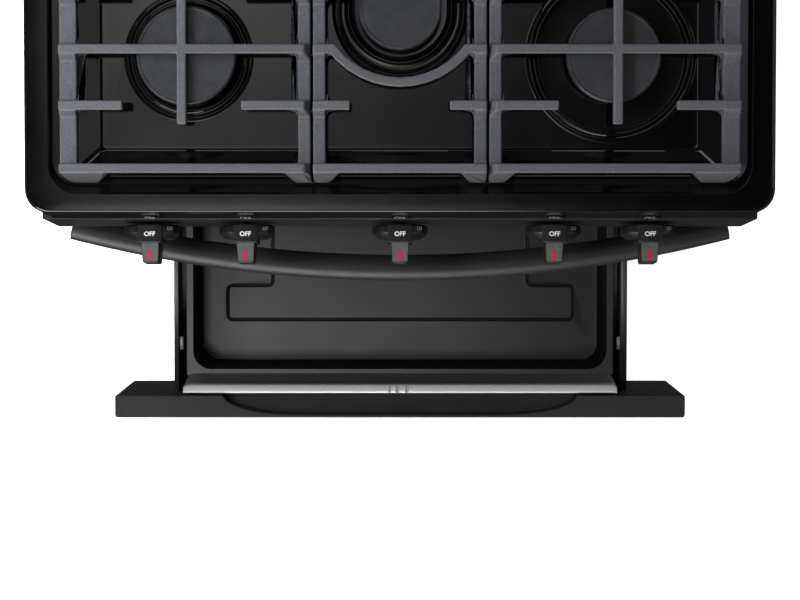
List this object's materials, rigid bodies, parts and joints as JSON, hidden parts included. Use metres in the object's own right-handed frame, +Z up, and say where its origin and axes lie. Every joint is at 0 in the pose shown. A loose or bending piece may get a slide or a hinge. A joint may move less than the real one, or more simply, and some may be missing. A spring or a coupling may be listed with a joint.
{
  "type": "freestanding gas range",
  "caption": "Freestanding gas range with cast-iron grates over a sunken cooktop, front knobs, a bow-handled drop-down oven door and a storage drawer drawn open.",
  "frame": {"origin": "under the middle of the whole outline, drawer drawn out, on the floor", "axes": "+X to the cook's right, +Y to the wall behind the range, +Z up; the door and knobs face -Y"},
  "size_m": [0.757, 0.9236, 1.19],
  "materials": {
    "enamel": "glossy black porcelain enamel on steel",
    "paint": "baked black powder coat, satin",
    "galvanized": "plain zinc-coated steel",
    "satin_steel": "satin rolled steel",
    "oven_liner": "blue-grey speckled porcelain enamel",
    "cast_iron": "matte grey-black enamelled cast iron",
    "burner_alloy": "die-cast, heat dulled",
    "cap_enamel": "matte black enamelled cap",
    "knob_plastic": "satin black phenolic",
    "brass": "machined",
    "glass": "dark tempered glass",
    "rubber": "black, moulded",
    "chrome": "bright chromed wire"
  },
  "bodies": {
    "range_body": {"cooktop": "enamel", "control_panel": "enamel", "oven_front_frame": "enamel", "side_panel_left": "paint", "side_panel_right": "paint", "backguard": "paint", "rear_cover": "galvanized", "base_frame": "galvanized", "door_hinge_left": "galvanized", "door_hinge_right": "galvanized", "drawer_rail_left": "galvanized", "drawer_rail_right": "galvanized", "bake_burner": "galvanized", "broil_burner": "galvanized", "gas_manifold": "galvanized", "oven_cavity": "oven_liner", "oven_floor": "oven_liner", "burner_head_left_front": "burner_alloy", "burner_head_left_rear": "burner_alloy", "burner_head_right_front": "burner_alloy", "burner_head_right_rear": "burner_alloy", "burner_head_centre": "burner_alloy", "burner_cap_left_front": "cap_enamel", "burner_cap_left_rear": "cap_enamel", "burner_cap_right_front": "cap_enamel", "burner_cap_right_rear": "cap_enamel", "burner_cap_centre": "cap_enamel", "gas_regulator": "brass", "display_glass": "glass", "oven_lamp": "glass", "door_gasket": "rubber", "leveling_leg_front_left": "rubber", "leveling_leg_front_right": "rubber", "leveling_leg_rear_left": "rubber", "leveling_leg_rear_right": "rubber", "lower_rack": "chrome", "upper_rack": "chrome"},
    "door": {"door_outer_panel": "paint", "door_window_glass": "glass", "door_inner_panel": "enamel", "door_inner_glass": "glass", "door_handle": "paint"},
    "drawer": {"drawer_front": "paint", "drawer_pan": "paint", "drawer_brace": "satin_steel", "drawer_runner_left": "paint", "drawer_runner_right": "paint"},
    "left_grate": {"grate_left": "cast_iron"},
    "centre_grate": {"grate_centre": "cast_iron"},
    "right_grate": {"grate_right": "cast_iron"},
    "stem_left_front": {"valve_stem_left_front": "brass"},
    "knob_left_front": {"knob_left_front": "knob_plastic"},
    "stem_left_rear": {"valve_stem_left_rear": "brass"},
    "knob_left_rear": {"knob_left_rear": "knob_plastic"},
    "stem_centre": {"valve_stem_centre": "brass"},
    "knob_centre": {"knob_centre": "knob_plastic"},
    "stem_right_rear": {"valve_stem_right_rear": "brass"},
    "knob_right_rear": {"knob_right_rear": "knob_plastic"},
    "stem_right_front": {"valve_stem_right_front": "brass"},
    "knob_right_front": {"knob_right_front": "knob_plastic"}
  },
  "joints": [
    {"name": "oven_door_hinge", "type": "hinge", "parent": "range_body", "child": "door", "pos_m": [0, -0.1822, 0.294], "axis": [1, 0, 0], "range_deg": [0, 90], "stiffness_Nm_per_rad": 14, "springref_deg": -8.59},
    {"name": "storage_drawer_slide", "type": "slide", "parent": "range_body", "child": "drawer", "axis": [0, -1, 0], "range_m": [-0.2596, 0.14]},
    {"name": "left_grate_lift", "type": "slide", "parent": "range_body", "child": "left_grate", "axis": [0, 0, 1], "range_m": [0, 0.06]},
    {"name": "centre_grate_lift", "type": "slide", "parent": "range_body", "child": "centre_grate", "axis": [0, 0, 1], "range_m": [0, 0.06]},
    {"name": "right_grate_lift", "type": "slide", "parent": "range_body", "child": "right_grate", "axis": [0, 0, 1], "range_m": [0, 0.06]},
    {"name": "left_front_valve_push", "type": "slide", "parent": "range_body", "child": "stem_left_front", "axis": [0, 0.9961, -0.0881], "range_m": [0, 0.0025], "stiffness_N_per_m": 2500, "springref_m": -0.0012},
    {"name": "left_front_knob_turn", "type": "hinge", "parent": "stem_left_front", "child": "knob_left_front", "pos_m": [-0.259, -0.19968, 0.818], "axis": [0, -0.9961, 0.0881], "range_deg": [0, 240]},
    {"name": "left_rear_valve_push", "type": "slide", "parent": "range_body", "child": "stem_left_rear", "axis": [0, 0.9961, -0.0881], "range_m": [0, 0.0025], "stiffness_N_per_m": 2500, "springref_m": -0.0012},
    {"name": "left_rear_knob_turn", "type": "hinge", "parent": "stem_left_rear", "child": "knob_left_rear", "pos_m": [-0.16, -0.19968, 0.818], "axis": [0, -0.9961, 0.0881], "range_deg": [0, 240]},
    {"name": "centre_valve_push", "type": "slide", "parent": "range_body", "child": "stem_centre", "axis": [0, 0.9961, -0.0881], "range_m": [0, 0.0025], "stiffness_N_per_m": 2500, "springref_m": -0.0012},
    {"name": "centre_knob_turn", "type": "hinge", "parent": "stem_centre", "child": "knob_centre", "pos_m": [0, -0.19968, 0.818], "axis": [0, -0.9961, 0.0881], "range_deg": [0, 240]},
    {"name": "right_rear_valve_push", "type": "slide", "parent": "range_body", "child": "stem_right_rear", "axis": [0, 0.9961, -0.0881], "range_m": [0, 0.0025], "stiffness_N_per_m": 2500, "springref_m": -0.0012},
    {"name": "right_rear_knob_turn", "type": "hinge", "parent": "stem_right_rear", "child": "knob_right_rear", "pos_m": [0.16, -0.19968, 0.818], "axis": [0, -0.9961, 0.0881], "range_deg": [0, 240]},
    {"name": "right_front_valve_push", "type": "slide", "parent": "range_body", "child": "stem_right_front", "axis": [0, 0.9961, -0.0881], "range_m": [0, 0.0025], "stiffness_N_per_m": 2500, "springref_m": -0.0012},
    {"name": "right_front_knob_turn", "type": "hinge", "parent": "stem_right_front", "child": "knob_right_front", "pos_m": [0.259, -0.19968, 0.818], "axis": [0, -0.9961, 0.0881], "range_deg": [0, 240]}
  ]
}
